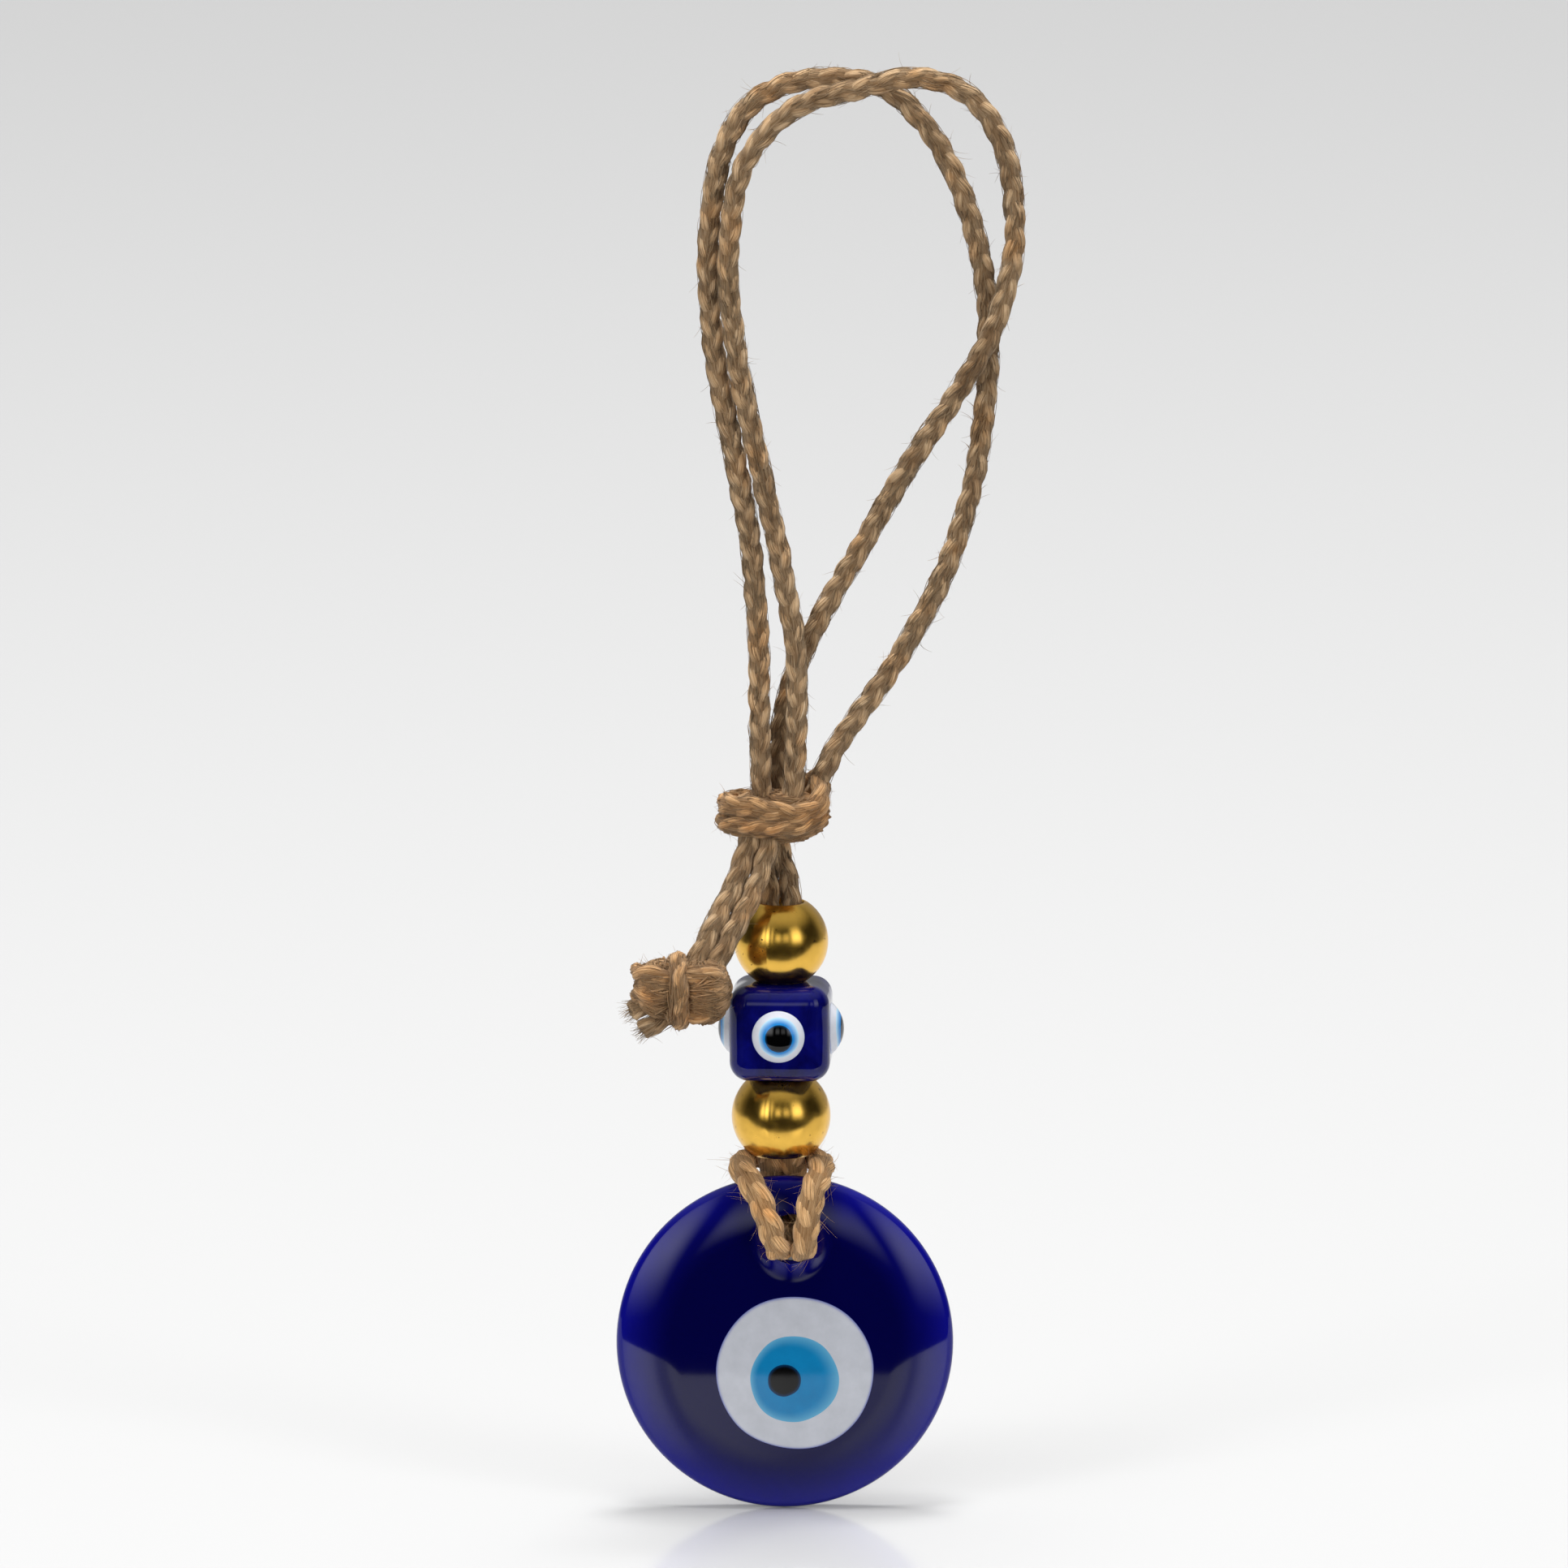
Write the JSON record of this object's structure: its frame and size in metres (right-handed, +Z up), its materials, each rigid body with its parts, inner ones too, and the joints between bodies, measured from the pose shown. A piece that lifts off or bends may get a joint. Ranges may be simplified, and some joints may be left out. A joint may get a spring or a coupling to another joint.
{
  "type": "evil eye ornament",
  "caption": "Hanging glass eye disc on a plaited jute cord, with a glass eye cube between gold beads, a knotted hanging loop and a knotted tail.",
  "frame": {"origin": "where a hook carries the crown of the hanging loop, which is the mount hanging_loop", "axes": "+Z up along the hanging cord, +X to the right, -Y the way the eyes look"},
  "size_m": [0.0545, 0.0212, 0.1947],
  "materials": {
    "navy_glass": "polished, opaque dark cobalt",
    "white_glass": "polished, opaque white",
    "light_blue_glass": "polished, light blue",
    "black_glass": "polished, black",
    "blue_glass": "polished, translucent cobalt",
    "gold_bead": "metallised gold, mirror bright",
    "jute_cord": "plaited jute, hairy"
  },
  "bodies": {
    "hanging_loop": {"loop_outer": "jute_cord", "loop_inner": "jute_cord", "main_knot": "jute_cord"},
    "pendant": {"neck_strand_left": "jute_cord", "neck_strand_right": "jute_cord", "hitch_cord": "jute_cord"},
    "lower_bead": {"lower_gold_bead": "gold_bead"},
    "cube": {"cube_bead": "blue_glass", "cube_eye_white_front": "white_glass", "cube_eye_iris_front": "light_blue_glass", "cube_eye_pupil_front": "black_glass", "cube_eye_white_right": "white_glass", "cube_eye_iris_right": "light_blue_glass", "cube_eye_pupil_right": "black_glass", "cube_eye_white_back": "white_glass", "cube_eye_iris_back": "light_blue_glass", "cube_eye_pupil_back": "black_glass", "cube_eye_white_left": "white_glass", "cube_eye_iris_left": "light_blue_glass", "cube_eye_pupil_left": "black_glass"},
    "upper_bead": {"upper_gold_bead": "gold_bead"},
    "disc": {"disc_glass": "navy_glass", "disc_eye_white": "white_glass", "disc_eye_iris": "light_blue_glass", "disc_eye_pupil": "black_glass"},
    "tail": {"tail_strand_left": "jute_cord", "tail_strand_right": "jute_cord", "stopper_knot": "jute_cord", "cord_end_left": "jute_cord", "cord_end_right": "jute_cord"}
  },
  "joints": [
    {"name": "pendant_sway", "type": "hinge", "parent": "hanging_loop", "child": "pendant", "pos_m": [-0.01255, 0, -0.1009], "axis": [0, 1, 0], "range_deg": [-12, 12], "deforming": ["neck_strand_left", "neck_strand_right"]},
    {"name": "bead_lift", "type": "slide", "parent": "pendant", "child": "lower_bead", "axis": [0, 0, 1], "range_m": [0, 0.003]},
    {"name": "cube_spin", "type": "hinge", "parent": "lower_bead", "child": "cube", "pos_m": [-0.0125, 0, -0.1255], "axis": [0, 0, 1], "continuous": true},
    {"name": "upper_bead_spin", "type": "hinge", "parent": "cube", "child": "upper_bead", "pos_m": [-0.0125, 0, -0.1137], "axis": [0, 0, 1], "continuous": true},
    {"name": "disc_tilt", "type": "hinge", "parent": "pendant", "child": "disc", "pos_m": [-0.012, -0.00175, -0.1478], "axis": [1, 0, 0], "range_deg": [-12, 12], "deforming": ["hitch_cord"]},
    {"name": "tail_sway", "type": "hinge", "parent": "pendant", "child": "tail", "pos_m": [-0.016, -0.0036, -0.1006], "axis": [0, 1, 0], "range_deg": [0, 35], "deforming": ["tail_strand_left", "tail_strand_right"]}
  ]
}
